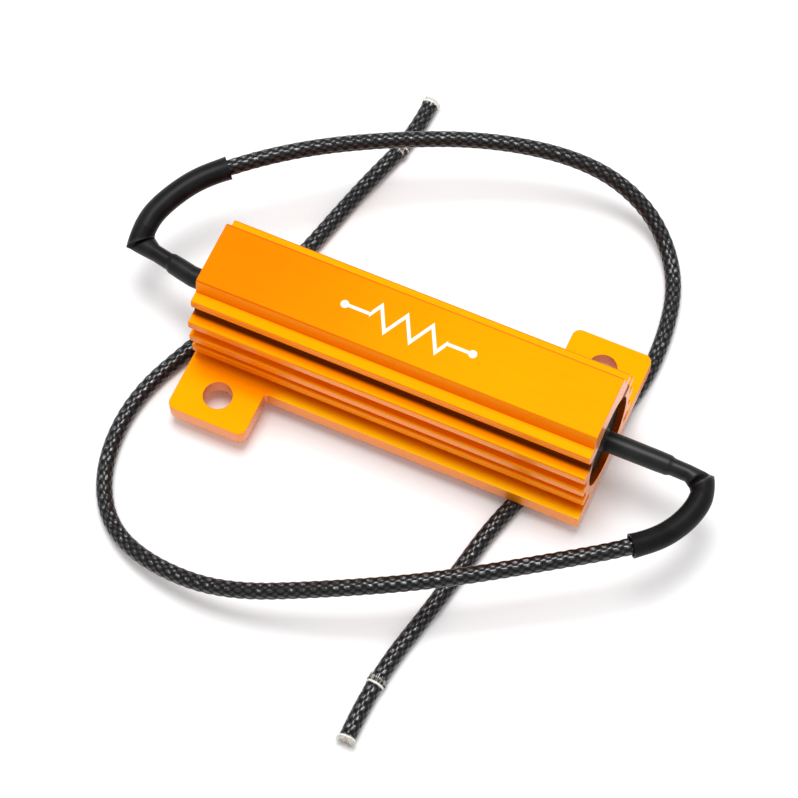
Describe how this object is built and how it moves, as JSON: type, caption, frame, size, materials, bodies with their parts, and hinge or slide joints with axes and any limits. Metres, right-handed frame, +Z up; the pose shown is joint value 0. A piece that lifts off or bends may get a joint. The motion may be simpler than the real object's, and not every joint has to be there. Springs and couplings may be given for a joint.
{
  "type": "power load resistor",
  "caption": "Wirewound power resistor in a finned, anodised aluminium housing with diagonal screw lugs and black braided flying leads in shrunk sleeves.",
  "frame": {"origin": "middle of the flat mounting face, halfway between the two screw holes", "axes": "+X along the body, +Z up out of the mounting face, +Y across the body towards the lug at the +X end"},
  "size_m": [0.078, 0.0807, 0.0177],
  "materials": {
    "anodised_aluminium": "satin orange-gold anodised extrusion",
    "ceramic": "unglazed",
    "resistance_wire": "drawn wire",
    "moulding_compound": "matt black moulding",
    "plated_steel": "tin plated",
    "tinned_copper": "bare copper strands",
    "solder": "dull solder",
    "shrink_tubing": "satin black shrunk tubing",
    "glass_braid": "black varnished glass braid",
    "glass_fibre": "white glass fibre"
  },
  "bodies": {
    "root": {"housing": "anodised_aluminium", "ceramic_core": "ceramic", "resistance_winding": "resistance_wire", "potting": "moulding_compound", "end_cap_left": "plated_steel", "terminal_left": "plated_steel", "end_seal_left": "moulding_compound", "conductor_left": "tinned_copper", "solder_left": "solder", "sleeve_left": "shrink_tubing", "lead_left": "glass_braid", "slug_left": "glass_braid", "inner_insulation_left": "glass_fibre", "strand_end_left": "tinned_copper", "end_cap_right": "plated_steel", "terminal_right": "plated_steel", "end_seal_right": "moulding_compound", "conductor_right": "tinned_copper", "solder_right": "solder", "sleeve_right": "shrink_tubing", "lead_right": "glass_braid", "slug_right": "glass_braid", "inner_insulation_right": "glass_fibre", "strand_end_right": "tinned_copper"}
  },
  "joints": []
}
